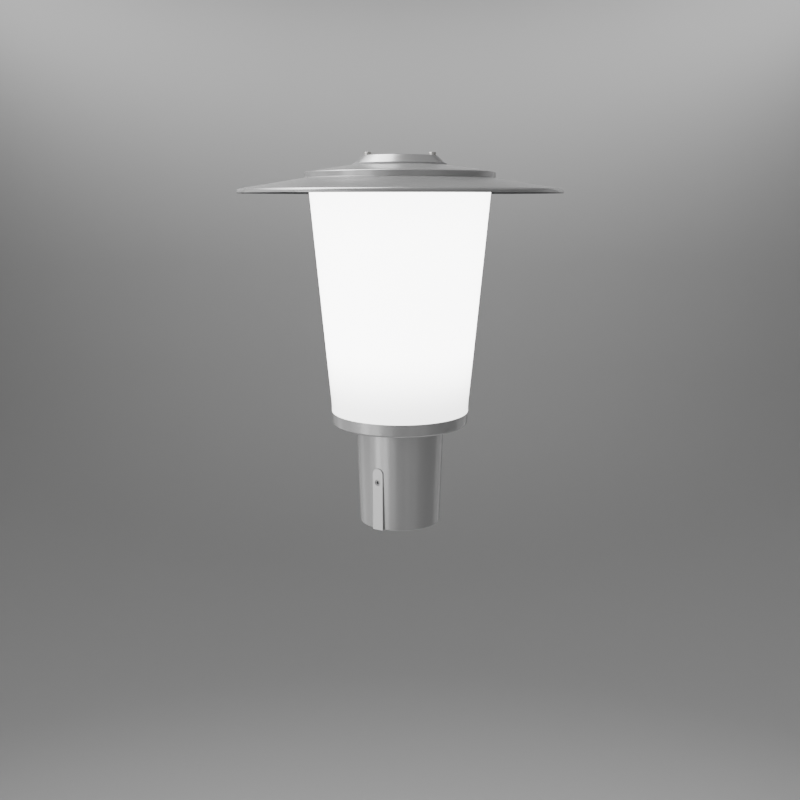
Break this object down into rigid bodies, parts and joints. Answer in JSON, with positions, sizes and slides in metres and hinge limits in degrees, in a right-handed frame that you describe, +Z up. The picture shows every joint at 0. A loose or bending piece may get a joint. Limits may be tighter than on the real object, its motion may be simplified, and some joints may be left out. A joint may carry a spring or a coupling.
{
  "type": "led street light head",
  "caption": "Post-top street light head: cast pole socket, ring, opal cone diffuser over an LED column, and a wide spun canopy with a small screwed cap.",
  "frame": {"origin": "centre of the pole socket's open mouth, on the pole's axis", "axes": "+Z runs up the pole's axis to the cap; the picture looks along +Y from the -Y side; the cap's two screws lie on X"},
  "size_m": [0.305, 0.305, 0.3588],
  "materials": {
    "silver_paint": "fine silver-grey powder coat on cast and spun aluminium, satin, and dark grey under the canopy",
    "opal": "opal white acrylic, satin, glows softly when lit",
    "bright_steel": "stainless screws",
    "black_steel": "blackened steel set screws",
    "zinc_sheet": "zinc-plated sheet",
    "seal_rubber": "black sealing rubber",
    "grey_rubber": "grey sealing rubber",
    "raw_aluminium": "extruded and turned, uncoated",
    "board_white": "white solder mask on an aluminium core",
    "led_phosphor": "yellow phosphor packages",
    "gland_nylon": "grey moulded nylon",
    "driver_case": "off-white moulded case",
    "terminal_plastic": "dark grey moulding",
    "surge_plastic": "blue epoxy-coated block",
    "earth_brass": "plain brass screw"
  },
  "bodies": {
    "root": {"pole_socket": "silver_paint", "clamp_screws": "black_steel", "base_ring": "silver_paint", "socket_screws": "bright_steel", "lower_gasket": "seal_rubber", "gland_washer": "seal_rubber", "gland_body": "gland_nylon", "gland_nut": "gland_nylon", "gland_locknut": "gland_nylon", "gland_seal": "seal_rubber", "foot_plate": "raw_aluminium", "plate_screws": "bright_steel", "earth_screw": "earth_brass", "led_column": "raw_aluminium", "lower_column_screws": "bright_steel", "upper_column_screws": "bright_steel", "led_boards": "board_white", "leds": "led_phosphor", "led_driver": "driver_case", "driver_bracket": "zinc_sheet", "bracket_screws": "bright_steel", "terminal_block": "terminal_plastic", "surge_protector": "surge_plastic", "diffuser": "opal", "upper_gasket": "seal_rubber", "top_plate": "raw_aluminium", "canopy_hub": "raw_aluminium", "hub_screws": "bright_steel", "canopy": "silver_paint", "cap_gasket": "grey_rubber", "cap": "silver_paint", "cap_screws": "bright_steel"}
  },
  "joints": []
}
